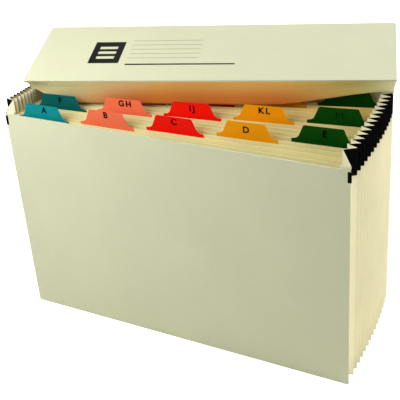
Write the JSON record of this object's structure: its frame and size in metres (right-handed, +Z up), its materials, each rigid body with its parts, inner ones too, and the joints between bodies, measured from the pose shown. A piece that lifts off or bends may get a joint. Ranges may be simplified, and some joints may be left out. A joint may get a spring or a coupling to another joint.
{
  "type": "expanding file",
  "caption": "Upright card expanding file: a concertina of pockets with coloured index tabs between two covers, and a long flap on a folded spine laid open behind.",
  "frame": {"origin": "middle of the base of the whole object's box, on the surface that it stands on", "axes": "+Z up, +X to the right along the front cover, +Y from the front cover towards the back"},
  "size_m": [0.4052, 0.2448, 0.2943],
  "materials": {
    "cover_board": "matt coated board",
    "gusset_card": "matt manila",
    "divider_card": "matt manila",
    "cloth_tape": "woven tape",
    "teal_tab": "satin",
    "sea_green_tab": "satin",
    "salmon_tab": "satin",
    "red_tab": "satin",
    "orange_tab": "satin",
    "green_tab": "satin"
  },
  "bodies": {
    "file": {"front_cover": "cover_board", "rear_cover": "cover_board", "left_gusset": "gusset_card", "right_gusset": "gusset_card", "left_gusset_tape": "cloth_tape", "right_gusset_tape": "cloth_tape", "bottom_gusset": "gusset_card", "divider_01": "divider_card", "divider_02": "divider_card", "divider_03": "divider_card", "divider_04": "divider_card", "divider_05": "divider_card", "divider_06": "divider_card", "divider_07": "divider_card", "divider_08": "divider_card", "divider_09": "divider_card", "divider_10": "divider_card", "divider_11": "divider_card", "divider_12": "divider_card", "divider_13": "divider_card", "divider_14": "divider_card", "divider_15": "divider_card", "tab_01": "teal_tab", "tab_02": "salmon_tab", "tab_03": "red_tab", "tab_04": "orange_tab", "tab_05": "green_tab", "tab_06": "sea_green_tab", "tab_07": "salmon_tab", "tab_08": "red_tab", "tab_09": "orange_tab", "tab_10": "green_tab", "tab_11": "sea_green_tab", "tab_12": "salmon_tab", "tab_13": "red_tab", "tab_14": "orange_tab", "tab_15": "green_tab"},
    "flap": {"flap": "cover_board"}
  },
  "joints": [
    {"name": "flap_fold", "type": "hinge", "parent": "file", "child": "flap", "pos_m": [0.01491, -0.0428, 0.272], "axis": [0.9495, 0.3136, 0], "range_deg": [-20, 175]}
  ]
}
